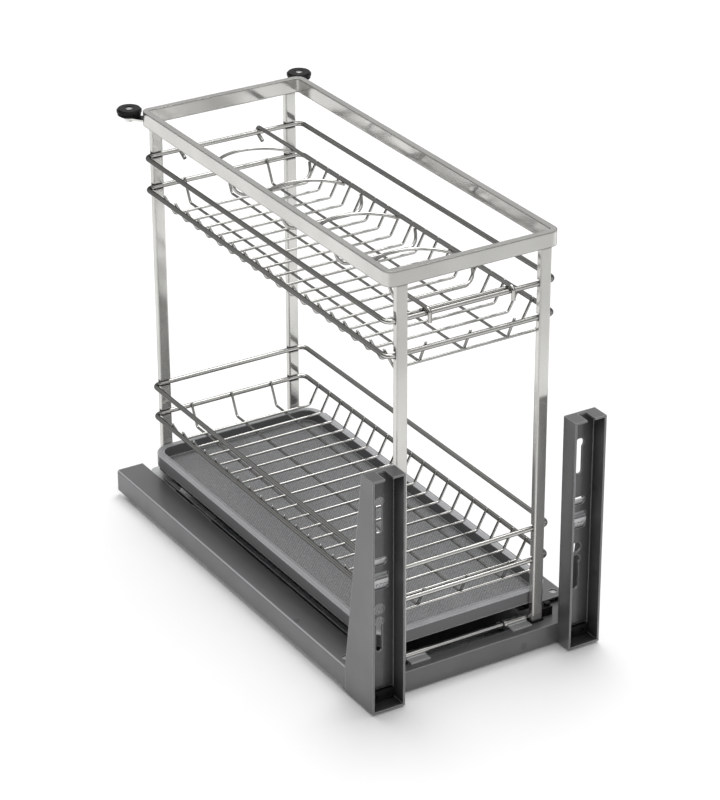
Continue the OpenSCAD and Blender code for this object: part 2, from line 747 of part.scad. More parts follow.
// U-shaped member that runs between the other two
module middle_member() {
    color(zinc) from_door()
        translate([runner_x - middle_half, runner_front_y + member_end_gap, middle_z]) difference() {
            cube([2 * middle_half, runner_l - 2 * member_end_gap, middle_h]);
            translate([runner_t, -cut, runner_t])
                cube([2 * (middle_half - runner_t), runner_l, middle_h]);
        }
}

// Hat-shaped member under the cover
module carriage_member() {
    flange_half = side_rail_w / 2 - side_rail_r - seat;
    l = rear_rail_y - runner_front_y;
    web_h = carriage_flange_z - carriage_bottom_z;
    color(zinc) from_door() translate([runner_x, runner_front_y, 0]) union() {
        translate([-flange_half, 0, carriage_flange_z - runner_t]) cube([2 * flange_half, l, runner_t]);
        translate([-carriage_half, 0, carriage_bottom_z]) difference() {
            cube([2 * carriage_half, l, web_h]);
            translate([runner_t, -cut, -cut])
                cube([2 * (carriage_half - runner_t), l + 2 * cut, web_h - runner_t + cut]);
        }
    }
}

// Ball cages of the outer and the inner pair of members
module outer_ball_cage() {
    ball_cage(middle_half, outer_cage_y, outer_ball_z);
}

module inner_ball_cage() {
    ball_cage(carriage_half, inner_cage_y, inner_ball_z);
}

// Two strips with balls, one in each gap at this distance from the runner's middle
module ball_cage(inner_face, y, ball_z) {
    ball_x = inner_face + ball_gap / 2;
    pitch = cage_l / balls;
    color(zinc) from_door() for (side = [-1, 1]) translate([runner_x + side * ball_x, y, ball_z]) union() {
        translate([-cage_strip[0] / 2, 0, -cage_strip[1] / 2]) cube([cage_strip[0], cage_l, cage_strip[1]]);
        for (i = [0 : balls - 1]) translate([0, (i + 1 / 2) * pitch, 0]) sphere(d = ball_d);
    }
}

// Plated clip from the cross rail to the base plate, with a trough for the rod's sleeve
module rod_clip() {
    w = clip_w;
    top = cross_top_z + clip_t;
    trough_r = sleeve_d / 2 + rod_clear + clip_t;
    color(zinc) from_door() translate([clip_x - w / 2, 0, 0]) difference() {
        union() {
            translate([0, clip_front_y, cross_top_z]) cube([w, clip_rear_y - clip_front_y, clip_t]);
            translate([0, clip_rear_y - clip_t, base_z + base_t]) cube([w, clip_t, top - base_z - base_t]);
            translate([0, clip_rear_y - clip_t, base_z + base_t]) cube([w, clip_foot, clip_t]);
            intersection() {
                translate([0, rod_y, rod_z]) rotate([0, 90, 0]) cylinder(h = w, r = trough_r);
                translate([0, rod_y - trough_r, rod_z - trough_r]) cube([w, 2 * trough_r, trough_r]);
            }
        }
        translate([-cut, rod_y, rod_z]) rotate([0, 90, 0])
            cylinder(h = w + 2 * cut, d = sleeve_d + 2 * rod_clear);
    }
}

// Round rod from side to side
module cross_rod() {
    color(bright_steel) from_door() translate([-rod_half, rod_y, rod_z]) rotate([0, 90, 0])
        cylinder(h = 2 * rod_half, d = rod_d);
}

// Sleeves on the rod, the right one with a collar
module rod_sleeve() {
    color(bright_steel) from_door() for (side = [0, 1]) mirror([side, 0, 0])
        translate([sleeve_x[0], rod_y, rod_z]) rotate([0, 90, 0]) difference() {
            union() {
                cylinder(h = sleeve_x[1] - sleeve_x[0], d = sleeve_d);
                if (side == 0) cylinder(h = collar_l, d = collar_d);
            }
            translate([0, 0, -cut]) cylinder(h = sleeve_x[1], d = rod_d + 2 * rod_clear);
        }
}

// Plastic block that sits over the rod's end, with a hexagon screw on top
module rod_end_block() {
    w = rod_d + 2 * rod_clear;
    up = rod_z - cross_top_z;
    bore_l = rod_block[0] / 2 + cut + seat;
    place = [rod_block_x, rod_y - rod_block[1] / 2, cross_top_z];
    color(black_plastic) from_door() translate(place) union() {
        difference() {
            cube(rod_block);
            translate([-cut, rod_block[1] / 2, up]) rotate([0, 90, 0]) cylinder(h = bore_l, d = w);
            translate([-cut, (rod_block[1] - w) / 2, -cut]) cube([bore_l, w, up + cut]);
        }
        translate([hex_share * rod_block[0], rod_block[1] / 2, rod_block[2]])
            cylinder(h = hex_h, d = hex_d, $fn = 6);
    }
}

// Tab from the frame's corner to the roller's screw
module roller_arm() {
    corner = [frame_w / 2 - frame_r, frame_rear_y - frame_r];
    axis = [roller_x, roller_y];
    color(bright_steel) from_door() translate([0, 0, arm_z]) linear_extrude(arm_t) difference() {
        union() {
            translate(axis) circle(d = arm_w);
            translate(corner) rotate([0, 0, atan2(axis[1] - corner[1], axis[0] - corner[0])])
                translate([0, -arm_w / 2]) square([norm(axis - corner), arm_w]);
        }
        translate([-frame_w / 2, frame_front_y]) rounded_rect([frame_w, frame_rear_y - frame_front_y], frame_r);
        translate(axis) circle(d = roller_screw_d + 2 * rod_clear);
    }
}

// Screw with a flat head in the roller and a nut under the tab
module roller_screw() {
    head_z = roller_z + roller_h - roller_cup_h + seat;
    color(bright_steel) from_door() translate([roller_x, roller_y, 0]) union() {
        translate([0, 0, arm_z - nut_h]) cylinder(h = head_z - arm_z + nut_h, d = roller_screw_d);
        translate([0, 0, head_z]) cylinder(h = screw_head_h, d = screw_head_d);
        translate([0, 0, arm_z - nut_h]) cylinder(h = nut_h, d = nut_d, $fn = 6);
    }
}

// Plastic wheel with a groove round its edge and a cup for the screw's head
module guide_roller() {
    r = roller_d / 2;
    edge = roller_h / 5;
    bore_r = roller_screw_d / 2 + roller_clear;
    cup_r = roller_cup_d / 2;
    color(black_plastic) from_door() translate([roller_x, roller_y, roller_z]) rotate_extrude() polygon([
        [bore_r, 0], [r - 2 * edge, 0], [r - edge / 2, edge], [r - edge / 2, 1.6 * edge],
        [r - edge, 2 * edge], [r - edge / 2, 2.4 * edge], [r, 2.6 * edge], [r, 4 * edge],
        [r - edge, 5 * edge], [cup_r, 5 * edge],
        [cup_r, 5 * edge - roller_cup_h], [bore_r, 5 * edge - roller_cup_h]
    ]);
}

// Shallow plastic tray: rim, outer skirt, basin with a floor, and six feet on the base plate
module drip_tray() {
    size = [2 * tray_half_w, tray_rear_y - tray_front_y];
    basin_in = tray_rim_w;
    floor_in = basin_in - tray_wall;
    module ring(outer_in, inner_in) {
        difference() {
            translate([outer_in, outer_in]) rounded_rect(size - 2 * [outer_in, outer_in], tray_r - outer_in);
            translate([inner_in, inner_in]) rounded_rect(size - 2 * [inner_in, inner_in], tray_r - inner_in);
        }
    }
    color(tray_plastic) from_door() union() {
        translate([-tray_half_w, tray_front_y, 0]) {
            translate([0, 0, tray_top_z - tray_h]) linear_extrude(tray_h) ring(0, tray_wall);
            translate([0, 0, tray_top_z - tray_wall]) linear_extrude(tray_wall) ring(0, basin_in);
            translate([0, 0, tray_top_z - tray_wall]) linear_extrude(tray_wall + tray_lip)
                ring(basin_in - tray_lip, basin_in);
            translate([0, 0, tray_floor_top - tray_wall]) linear_extrude(tray_depth + tray_wall)
                ring(floor_in, basin_in);
            translate([floor_in, floor_in, tray_floor_top - tray_wall]) linear_extrude(tray_wall)
                rounded_rect(size - 2 * [floor_in, floor_in], tray_r - floor_in);
        }
        for (s = tray_foot_share, side = [-1, 1])
            translate([side * tray_foot_x, tray_front_y + s * size[1], base_z + base_t]) difference() {
                cylinder(h = tray_floor_top - tray_wall / 2 - base_z - base_t, d = tray_foot_d);
                translate([0, 0, -cut]) cylinder(h = cut + tray_floor_top - 2 * tray_wall - base_z - base_t,
                                                 d = tray_foot_d - 2 * tray_wall);
            }
    }
}

left_hand() cabinet_runner();  // cabinet_runner_left
cabinet_runner();  // cabinet_runner_right
left_hand() middle_member();  // middle_member_left
middle_member();  // middle_member_right
left_hand() outer_ball_cage();  // outer_ball_cage_left
outer_ball_cage();  // outer_ball_cage_right
left_hand() inner_ball_cage();  // inner_ball_cage_left
inner_ball_cage();  // inner_ball_cage_right
left_hand() carriage_member();  // carriage_member_left
carriage_member();  // carriage_member_right
left_hand() side_rail();  // side_rail_left
side_rail();  // side_rail_right
front_cross_rail();
rear_cross_rail();
base_plate();
left_hand() tray_rail();  // tray_rail_left
tray_rail();  // tray_rail_right
left_hand() door_bracket();  // door_bracket_left
door_bracket();  // door_bracket_right
left_hand() door_adjuster();  // door_adjuster_left
door_adjuster();  // door_adjuster_right
left_hand() bracket_block();  // bracket_block_left
bracket_block();  // bracket_block_right
left_hand() rod_clip();  // rod_clip_left
rod_clip();  // rod_clip_right
cross_rod();
rod_sleeve();
left_hand() rod_end_block();  // rod_block_left
rod_end_block();  // rod_block_right
left_hand() foot(frame_front_y, false);  // foot_front_left
foot(frame_front_y, false);  // foot_front_right
left_hand() foot(frame_rear_y - post_t, true);  // foot_rear_left
foot(frame_rear_y - post_t, true);  // foot_rear_right
left_hand() post(frame_front_y, rail_front_y);  // post_front_left
post(frame_front_y, rail_front_y);  // post_front_right
left_hand() post(frame_rear_y - post_t, rail_rear_y);  // post_rear_left
post(frame_rear_y - post_t, rail_rear_y);  // post_rear_right
top_frame();
left_hand() roller_arm();  // roller_arm_left
roller_arm();  // roller_arm_right
left_hand() roller_screw();  // roller_screw_left
roller_screw();  // roller_screw_right
left_hand() guide_roller();  // guide_roller_left
guide_roller();  // guide_roller_right
basket_rails(upper_rail_z);  // upper_basket_rails
basket_floor(upper_rail_z - rail_pitch);  // upper_basket_floor
basket_side_wires(upper_rail_z - rail_pitch);  // upper_basket_side_wires
basket_end_wires(upper_rail_z - rail_pitch);  // upper_basket_end_wires
basket_rails(lower_rail_z);  // lower_basket_rails
basket_floor(lower_rail_z - rail_pitch);  // lower_basket_floor
basket_side_wires(lower_rail_z - rail_pitch);  // lower_basket_side_wires
basket_end_wires(lower_rail_z - rail_pitch);  // lower_basket_end_wires
insert_side_wires();
bottle_ring(1);  // bottle_ring_1
bottle_ring(2);  // bottle_ring_2
bottle_ring(3);  // bottle_ring_3
bottle_ring(4);  // bottle_ring_4
drip_tray();
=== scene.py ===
"""Looks of the pull-out cabinet basket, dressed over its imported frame.

Everything is in metres in the part's own frame: X across the cabinet, Y from the door inwards, Z up.
"""

import json
import math

import bmesh
import bpy
from mathutils import Matrix, Vector

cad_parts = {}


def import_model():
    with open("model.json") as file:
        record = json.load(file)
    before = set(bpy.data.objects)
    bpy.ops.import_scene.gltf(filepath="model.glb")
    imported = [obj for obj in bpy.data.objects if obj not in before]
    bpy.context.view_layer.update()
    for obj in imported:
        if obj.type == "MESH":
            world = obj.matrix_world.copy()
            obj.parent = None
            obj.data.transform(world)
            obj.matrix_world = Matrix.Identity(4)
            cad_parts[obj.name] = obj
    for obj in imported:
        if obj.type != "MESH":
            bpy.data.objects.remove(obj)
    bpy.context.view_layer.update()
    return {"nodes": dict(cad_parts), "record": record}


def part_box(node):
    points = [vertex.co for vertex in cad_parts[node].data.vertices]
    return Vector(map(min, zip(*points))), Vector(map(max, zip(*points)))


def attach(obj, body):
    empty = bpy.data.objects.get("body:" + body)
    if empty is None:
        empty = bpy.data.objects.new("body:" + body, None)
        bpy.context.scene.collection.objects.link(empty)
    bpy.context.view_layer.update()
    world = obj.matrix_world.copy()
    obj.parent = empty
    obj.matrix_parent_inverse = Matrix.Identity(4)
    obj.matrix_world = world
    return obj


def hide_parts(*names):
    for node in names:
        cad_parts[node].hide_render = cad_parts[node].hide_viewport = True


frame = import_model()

MM = 0.001

# Camera that matches the photograph: a 720 x 800 frame, its long side over a 36 mm sensor
CAMERA_PLACE = Vector((-1.4173, -2.3632, 1.5673))
CAMERA_YAW, CAMERA_PITCH, CAMERA_ROLL = map(math.radians, (31.29, 26.59, -0.19))
CAMERA_LENS = 137.42
CAMERA_CLIP = (0.05, 200.0)
SENSOR = 36.0

# Lamps
SUN_STRENGTH = 1.95
SUN_ANGLE = math.radians(40)
SUN_FROM = Vector((0.20, 0.26, 1.0))
FILL_STRENGTH = 0.42
FILL_ANGLE = math.radians(60)
FILL_FROM = Vector((0.05, -1.0, 0.40))

# Studio: the even light on matt surfaces, then what metal mirrors, as tones and as spans of direction
AMBIENT = 0.50
BRIGHT_WALL_AT = (0.75, 0.65, 0.0)
WALL_SPAN = (0.1, 0.8)
WALL_TONE = (0.04, 0.50)
HORIZON_SPAN = (0.12, 0.02)
HORIZON_TONE = 0.85
CEILING_SPAN = (0.62, 0.80)
CEILING_TONE = 0.95

# Studio floor: its tone in light that bounces off it, and in mirrors, where it darkens towards the front
FLOOR_HALF = 60.0
FLOOR_BOUNCE = 0.72
FLOOR_MIRRORED = 0.98
FLOOR_MIRRORED_FRONT = 0.66
FLOOR_FRONT_SPAN = (-0.50, -1.05)

# Basket wires: sizes that the part's source gives them, then how far a welded end passes its rail and
# laps into the floor wire that it carries on, and how finely it is made
RAIL_D = 5.0 * MM
WIRE_D = 2.7 * MM
WIRE_BEND = 4.0 * MM
FLOOR_INSET = 14.0 * MM
CROSS_WIRES = 19
LONG_WIRES = 3
WIRE_PAST_RAIL = 2.0 * MM
WIRE_LAP = 0.4 * MM
WIRE_SIDES = 16
BEND_STEPS = 8
DOME_STEPS = 4

# Colours, linear
CHROME = (0.68, 0.675, 0.65)
# Dark colour painted on chrome's outline and edges, a painted reflection of the dark studio
CHROME_RIM = (0.025, 0.025, 0.023)
STEEL = (0.74, 0.74, 0.72)
ZINC = (0.58, 0.585, 0.59)
# Zinc's upright faces in painted shade under the tray, and the painted highlight on zinc edges
ZINC_SHADED = (0.10, 0.10, 0.10)
ZINC_EDGE_HIGHLIGHT = (0.92, 0.92, 0.92)
PAINT = (0.158, 0.158, 0.161)
# Paint in painted shade, for the base plate in the dark under the tray
PAINT_SHADED = (0.040, 0.040, 0.042)
TRAY = (0.140, 0.141, 0.144)
BLACK = (0.008, 0.008, 0.008)

# The tray's pattern, and how far the painted shade of a recess reaches into paint
STUD_PITCH = 3.4 * MM
TRAY_FLOOR_Z = 44.0 * MM
TRAY_FLOOR_BAND = 0.5 * MM
TRAY_TOP_Z = 56.0 * MM
RECESS_REACH = 30.0 * MM

# Shared surface effect: two crossing waves as directions and rates, and the spans of its masks
LONG_WAVES = (((1.0, 1.3, 0.7), 2.9), ((-0.6, 1.0, 1.9), 4.7))
SLOW_TONE_SCALE = 14.0
TONE_SPAN = (0.3, 0.7)
# Span of the rounded-edge mask, which carries painted highlights and painted dark edge lines
ROUNDED_EDGE_SPAN = (0.99, 0.80)
SPECK_SPAN = (0.28, 0.12)

# Faces: upright below the first value of the normal's Z, level above the second
UPRIGHT_BELOW = 0.8
LEVEL_ABOVE = 0.9
# Faces leaning off the axes, on rounded bends, take paint's painted highlight over this span of squareness
SQUARE_SPAN = (0.97, 0.80)


# Materials
class Graph:
    """A material's or group's node tree, with short ways to add and join nodes."""

    def __init__(self, tree):
        self.tree = tree

    def add(self, kind, settings=None, **inputs):
        """A node of that kind: settings are its properties, inputs its sockets by name or number."""
        node = self.tree.nodes.new(kind)
        for key, value in (settings or {}).items():
            setattr(node, key, value)
        for key, value in inputs.items():
            socket = node.inputs[int(key[1:]) if key[0] == "_" else key.replace("_", " ")]
            if isinstance(value, bpy.types.NodeSocket):
                self.tree.links.new(value, socket)
            else:
                socket.default_value = value
        return node

    def math(self, operation, a, b=0.0, c=0.0):
        """The result of one sum, product or function of up to three values."""
        return self.add("ShaderNodeMath", {"operation": operation}, _0=a, _1=b, _2=c).outputs[0]

    def between(self, value, low, high, to_low=0.0, to_high=1.0):
        """The value's place between low and high, smoothed and brought to another range."""
        span = {"From_Min": low, "From_Max": high, "To_Min": to_low, "To_Max": to_high}
        smooth = {"interpolation_type": "SMOOTHSTEP"}
        return self.add("ShaderNodeMapRange", smooth, Value=value, **span).outputs[0]

    def blend(self, share, first, second):
        """One colour turned into another by share."""
        return self.add("ShaderNodeMix", {"data_type": "RGBA"}, _0=share, _6=first, _7=second).outputs[2]

    def split(self, vector):
        """The three numbers of a vector or colour."""
        return self.add("ShaderNodeSeparateXYZ", Vector=vector).outputs

    def dot(self, first, second):
        """The dot product of two vectors."""
        product = self.add("ShaderNodeVectorMath", {"operation": "DOT_PRODUCT"}, _0=first, _1=second)
        return product.outputs["Value"]

    def place(self):
        """Where a point lies in its piece's own frame, in metres."""
        return self.add("ShaderNodeTexCoord").outputs["Object"]

    def normal(self):
        """The true normal, without rounded edges or bumps."""
        return self.add("ShaderNodeNewGeometry").outputs["Normal"]

    def up(self):
        """How far a face looks up, from -1 to 1."""
        return self.split(self.normal())[2]


def opaque(colour):
    return (*colour, 1.0)


def grey(tone):
    return (tone, tone, tone, 1.0)


def toned(colour, share):
    """The colour made paler or darker."""
    return opaque(tuple(share * tone for tone in colour))


def new_material(name):
    material = bpy.data.materials.new(name)
    material.use_nodes = True
    material.node_tree.nodes.clear()
    return material, Graph(material.node_tree)


def finish_material(material, graph, shader):
    graph.add("ShaderNodeOutputMaterial", Surface=shader.outputs[0])
    return material


def new_group(name, inputs, outputs):
    """An empty node group with float inputs and their first values, and its outputs by kind."""
    tree = bpy.data.node_groups.new(name, "ShaderNodeTree")
    for socket, value in inputs.items():
        given = tree.interface.new_socket(socket, in_out="INPUT", socket_type="NodeSocketFloat")
        given.default_value = value
    for socket, kind in outputs.items():
        tree.interface.new_socket(socket, in_out="OUTPUT", socket_type="NodeSocket" + kind)
    graph = Graph(tree)
    return tree, graph, graph.add("NodeGroupInput").outputs


def surface_group():
    """Fine grain and slow waves as a normal, with a slow change of tone and a mask of rounded edges, which
    carries the materials' painted highlights and painted dark edge lines.

    Grain and wave sizes are repeats per metre, heights and the edge's radius are in millimetres."""
    tree, graph, given = new_group(
        "Surface",
        {"Grain": 900.0, "Grain Height": 0.02, "Waves": 25.0, "Wave Height": 0.0, "Edge Radius": 0.5},
        {"Normal": "Vector", "Tone": "Float", "Wear": "Float"},
    )
    place = graph.place()
    fine = graph.add("ShaderNodeTexNoise", Vector=place, Scale=given["Grain"], Detail=2.0).outputs["Fac"]
    slow = graph.add("ShaderNodeTexNoise", Vector=place, Scale=SLOW_TONE_SCALE, Detail=3.0).outputs["Fac"]
    swells = []
    for direction, rate in LONG_WAVES:
        per_metre = graph.math("MULTIPLY", given["Waves"], rate)
        turns = graph.math("MULTIPLY", graph.dot(place, direction), per_metre)
        swells.append(graph.math("SINE", turns))
    radius = graph.math("MULTIPLY", given["Edge Radius"], MM)
    rounded = graph.add("ShaderNodeBevel", {"samples": 4}, Radius=radius).outputs[0]
    # Mask of rounded edges, where the materials paint highlights and dark edge lines
    rounded_edge = graph.between(graph.dot(rounded, graph.normal()), *ROUNDED_EDGE_SPAN)
    height = graph.math("MULTIPLY", fine, given["Grain Height"])
    height = graph.math("MULTIPLY_ADD", graph.math("ADD", *swells), given["Wave Height"], height)
    bump = graph.add("ShaderNodeBump", Strength=1.0, Distance=MM, Height=height, Normal=rounded)
    graph.add("NodeGroupOutput", Normal=bump.outputs[0], Tone=slow, Wear=rounded_edge)
    return tree


def speck_group():
    """Mask of small marks that are thinly strewn: nicks in paint, grains in a cast surface."""
    tree, graph, given = new_group("Specks", {"Scale": 400.0, "Share": 0.2}, {"Mask": "Float"})
    cells = graph.add("ShaderNodeTexVoronoi", Vector=graph.place(), Scale=given["Scale"]).outputs
    chosen = graph.math("LESS_THAN", graph.split(cells["Color"])[0], given["Share"])
    near = graph.between(cells["Distance"], *SPECK_SPAN)
    graph.add("NodeGroupOutput", Mask=graph.math("MULTIPLY", chosen, near))
    return tree


SURFACE = surface_group()
SPECKS = speck_group()


def surface(graph, grain=900.0, grain_height=0.004, waves=25.0, wave_height=0.0, edge=0.5):
    """The shared surface effect's outputs: Normal, Tone, and the mask of rounded edges for painted
    highlights and painted dark edge lines.
    """
    values = {"Grain": grain, "Grain_Height": grain_height, "Waves": waves, "Wave_Height": wave_height}
    return graph.add("ShaderNodeGroup", {"node_tree": SURFACE}, Edge_Radius=edge, **values).outputs


def specks(graph, scale, share):
    """The shared specks' mask: marks per metre, and the share of them that is there."""
    return graph.add("ShaderNodeGroup", {"node_tree": SPECKS}, Scale=scale, Share=share).outputs[0]


def recess(graph, deep, clear):
    """From 0 deep in a channel or corner to 1 in the open, between two shares of open sky."""
    own = {"samples": 6, "only_local": True}
    seen = graph.add("ShaderNodeAmbientOcclusion", own, Distance=RECESS_REACH).outputs["AO"]
    return graph.between(seen, deep, clear)


def bright_metal(name, colour, rim_span, roughness, edge, wave_height=0.0, metallic=1.0, edge_line=0.0):
    """Polished metal with painted dark reflections: its outline is painted dark over a span of facing, its
    edges by the share edge_line.
    """
    rim = opaque(CHROME_RIM)
    dullest = 0.12
    smoothest, roughest = 0.6 * roughness, 1.6 * roughness
    rim_loss = 0.85
    material, graph = new_material(name)
    effect = surface(graph, waves=14.0, wave_height=wave_height, grain_height=0.0004, edge=edge)
    # Painted reflection: the outline over a span of facing, and the rounded edges by edge_line, take the
    # dark rim colour and lose most of their metal
    facing = graph.add("ShaderNodeLayerWeight", Blend=0.5).outputs["Facing"]
    outline = graph.between(facing, *rim_span)
    outline = graph.math("MAXIMUM", outline, graph.math("MULTIPLY", effect["Wear"], edge_line))
    dull = graph.between(effect["Tone"], low=0.35, high=0.65, to_high=dullest)
    shader = graph.add(
        "ShaderNodeBsdfPrincipled",
        Base_Color=graph.blend(outline, graph.blend(dull, opaque(colour), rim), rim),
        Metallic=graph.math("MULTIPLY_ADD", outline, -rim_loss * metallic, metallic),
        Roughness=graph.between(effect["Tone"], *TONE_SPAN, to_low=smoothest, to_high=roughest),
        Normal=effect["Normal"],
        Specular_IOR_Level=0.10,
    )
    return finish_material(material, graph, shader)


def zinc_plate(name, upright):
    """Zinc-plated sheet: crystals, a light grain, a painted highlight along its edges, and its upright
    faces in the colour upright, a painted shade where that is darker than the zinc.
    """
    dull_crystal = toned(ZINC, 0.86)
    material, graph = new_material(name)
    effect = surface(graph, grain=700.0, grain_height=0.002, edge=0.7)
    cells = graph.add("ShaderNodeTexVoronoi", Vector=graph.place(), Scale=210.0).outputs["Color"]
    crystal = graph.split(cells)[0]
    sheet = graph.blend(crystal, opaque(ZINC), dull_crystal)
    # Upright faces take the colour upright, which paints shade on them where it is darker than the zinc
    sheet = graph.blend(graph.math("GREATER_THAN", graph.up(), UPRIGHT_BELOW), opaque(upright), sheet)
    shader = graph.add(
        "ShaderNodeBsdfPrincipled",
        # Painted highlight along the rounded edges
        Base_Color=graph.blend(effect["Wear"], sheet, opaque(ZINC_EDGE_HIGHLIGHT)),
        Metallic=0.40,
        Roughness=graph.between(crystal, 0.0, 1.0, to_low=0.30, to_high=0.38),
        Normal=effect["Normal"],
    )
    return finish_material(material, graph, shader)


def grey_paint(name, colour):
    """Powder-coated steel: fine orange peel under a light gloss, a few nicks, a painted highlight on its
    edges and rounded bends, and painted shade in channels and corners.
    """
    paler, darker, painted_recess_shade = toned(colour, 3.2), toned(colour, 0.45), toned(colour, 0.10)
    clouded, nicked, painted_edge_share = 0.25, 0.5, 0.9
    metallic = 0.40
    material, graph = new_material(name)
    effect = surface(graph, grain=1300.0, grain_height=0.006, edge=1.7)
    cloud = graph.between(effect["Tone"], *TONE_SPAN, to_high=clouded)
    base = graph.blend(cloud, opaque(colour), darker)
    base = graph.blend(graph.math("MULTIPLY", specks(graph, scale=55.0, share=0.05), nicked), base, darker)
    # Painted shade: deep in channels and corners the paint darkens towards a tenth of its colour
    base = graph.blend(recess(graph, deep=0.38, clear=0.88), painted_recess_shade, base)
    # Painted highlight: rounded edges and faces leaning off the axes turn paler and less metallic
    absolute = graph.add("ShaderNodeVectorMath", {"operation": "ABSOLUTE"}, _0=graph.normal()).outputs[0]
    squareness = graph.split(absolute)
    squarest = graph.math("MAXIMUM", graph.math("MAXIMUM", squareness[0], squareness[1]), squareness[2])
    painted_edge_highlight = graph.math("MAXIMUM", effect["Wear"], graph.between(squarest, *SQUARE_SPAN))
    shader = graph.add(
        "ShaderNodeBsdfPrincipled",
        Base_Color=graph.blend(graph.math("MULTIPLY", painted_edge_highlight, painted_edge_share), base, paler),
        Metallic=graph.math("MULTIPLY_ADD", painted_edge_highlight, -metallic, metallic),
        Roughness=graph.between(effect["Tone"], *TONE_SPAN, to_low=0.28, to_high=0.38),
        Normal=effect["Normal"],
        Coat_Weight=0.30,
        Coat_Roughness=0.12,
    )
    return finish_material(material, graph, shader)


def tray_plastic(name):
    """Moulded tray: a woven pattern of small studs on its floor, smooth walls, and a painted highlight on
    its rim's top and its edges.
    """
    paler, palest, darker = toned(TRAY, 2.9), toned(TRAY, 6.0), toned(TRAY, 0.45)
    stud_share, grain_share, cloud_share, pit_share = 0.50, 0.35, 0.34, 0.7
    material, graph = new_material(name)
    effect = surface(graph, grain=1100.0, grain_height=0.008, edge=2.2)
    place = graph.place()
    axes = graph.split(place)
    flat = graph.math("GREATER_THAN", graph.up(), LEVEL_ABOVE)
    above = graph.math("GREATER_THAN", axes[2], TRAY_FLOOR_Z - TRAY_FLOOR_BAND)
    below = graph.math("LESS_THAN", axes[2], TRAY_FLOOR_Z + TRAY_FLOOR_BAND)
    level = graph.math("MULTIPLY", graph.math("MULTIPLY", flat, above), below)
    # Painted light: the rim's top face is made paler than the floor
    rim = graph.math("MULTIPLY", flat, graph.math("GREATER_THAN", axes[2], TRAY_TOP_Z - MM))

    turns = math.tau / STUD_PITCH
    across = graph.math("SINE", graph.math("MULTIPLY", axes[0], turns))
    along = graph.math("SINE", graph.math("MULTIPLY", axes[1], turns))
    stud = graph.between(graph.math("MULTIPLY", across, along), low=0.0, high=0.6)
    stud = graph.math("MULTIPLY", stud, level)

    grain = graph.math("MULTIPLY", specks(graph, scale=520.0, share=0.35), level)
    cloud = graph.add("ShaderNodeTexNoise", Vector=place, Scale=480.0, Detail=3.0).outputs["Fac"]
    cloud = graph.between(cloud, low=0.40, high=0.62)
    pattern_and_rim_light = graph.math("MULTIPLY_ADD", stud, stud_share, graph.math("MULTIPLY", grain, grain_share))
    pattern_and_rim_light = graph.math("MULTIPLY_ADD", cloud, graph.math("MULTIPLY", level, cloud_share), pattern_and_rim_light)
    pattern_and_rim_light = graph.math("MINIMUM", graph.math("ADD", pattern_and_rim_light, rim), 1.0)
    pits = graph.math("MULTIPLY", specks(graph, scale=430.0, share=0.30), level)
    base = graph.blend(pattern_and_rim_light, opaque(TRAY), paler)
    base = graph.blend(graph.math("MULTIPLY", pits, pit_share), base, darker)
    # Painted highlight along the rounded edges
    base = graph.blend(effect["Wear"], base, palest)

    depth = 0.25 * MM
    raised = graph.add("ShaderNodeBump", Strength=0.7, Distance=depth, Height=stud, Normal=effect["Normal"])
    shader = graph.add(
        "ShaderNodeBsdfPrincipled",
        Base_Color=base,
        Roughness=graph.between(level, 0.0, 1.0, to_low=0.30, to_high=0.52),
        Normal=raised.outputs[0],
    )
    return finish_material(material, graph, shader)


def black_plastic(name):
    """Moulded black nylon with a fine spark-eroded grain and a painted highlight on its edges."""
    paler, painted_edge_share = toned(BLACK, 5.0), 0.6
    material, graph = new_material(name)
    effect = surface(graph, grain=1600.0, grain_height=0.012, edge=0.6)
    # Painted highlight along the rounded edges
    painted_edge_highlight = graph.math("MULTIPLY", effect["Wear"], painted_edge_share)
    shader = graph.add(
        "ShaderNodeBsdfPrincipled",
        Base_Color=graph.blend(painted_edge_highlight, opaque(BLACK), paler),
        Roughness=graph.between(effect["Tone"], *TONE_SPAN, to_low=0.34, to_high=0.48),
        Normal=effect["Normal"],
        Specular_IOR_Level=0.16,
    )
    return finish_material(material, graph, shader)


bar = {"roughness": 0.12, "wave_height": 0.010, "metallic": 0.84}
frame_chrome = bright_metal("frame_chrome", CHROME, (0.60, 0.92), edge=2.4, edge_line=0.90, **bar)
post_chrome = bright_metal("post_chrome", CHROME, (0.58, 0.92), edge=2.0, edge_line=0.60, **bar)
wire_chrome = bright_metal("wire_chrome", CHROME, (0.15, 0.64), roughness=0.12, edge=0.1)
bright_steel = bright_metal("bright_steel", STEEL, (0.40, 0.85), roughness=0.16, edge=0.2)
screw_steel = bright_metal("screw_steel", STEEL, (0.60, 0.92), roughness=0.14, edge=2.5)
zinc = zinc_plate("zinc", ZINC)
# Zinc with its upright faces in painted shade, for the tray rails in the dark under the tray's rim
shaded_zinc = zinc_plate("shaded_zinc", ZINC_SHADED)
paint = grey_paint("paint", PAINT)
# Paint darkened as painted shade, for the base plate under the tray
shaded_paint = grey_paint("shaded_paint", PAINT_SHADED)
tray = tray_plastic("tray")
black = black_plastic("black")

LOOKS = {
    "chrome": wire_chrome,
    "zinc_plate": zinc,
    "grey_paint": paint,
    "tray_plastic": tray,
    "black_plastic": black,
}
POSTS = ("post_front_left", "post_front_right", "post_rear_left", "post_rear_right")
SCREWS = ("roller_screw_left", "roller_screw_right")
TRAY_RAILS = ("tray_rail_left", "tray_rail_right")
# The base plate takes the paint in painted shade
OWN_LOOKS = {"top_frame": frame_chrome, "cross_rod": bright_steel, "base_plate": shaded_paint}
OWN_LOOKS.update({node: post_chrome for node in POSTS})
OWN_LOOKS.update({node: screw_steel for node in SCREWS})
# The tray rails take the zinc in painted shade
OWN_LOOKS.update({node: shaded_zinc for node in TRAY_RAILS})


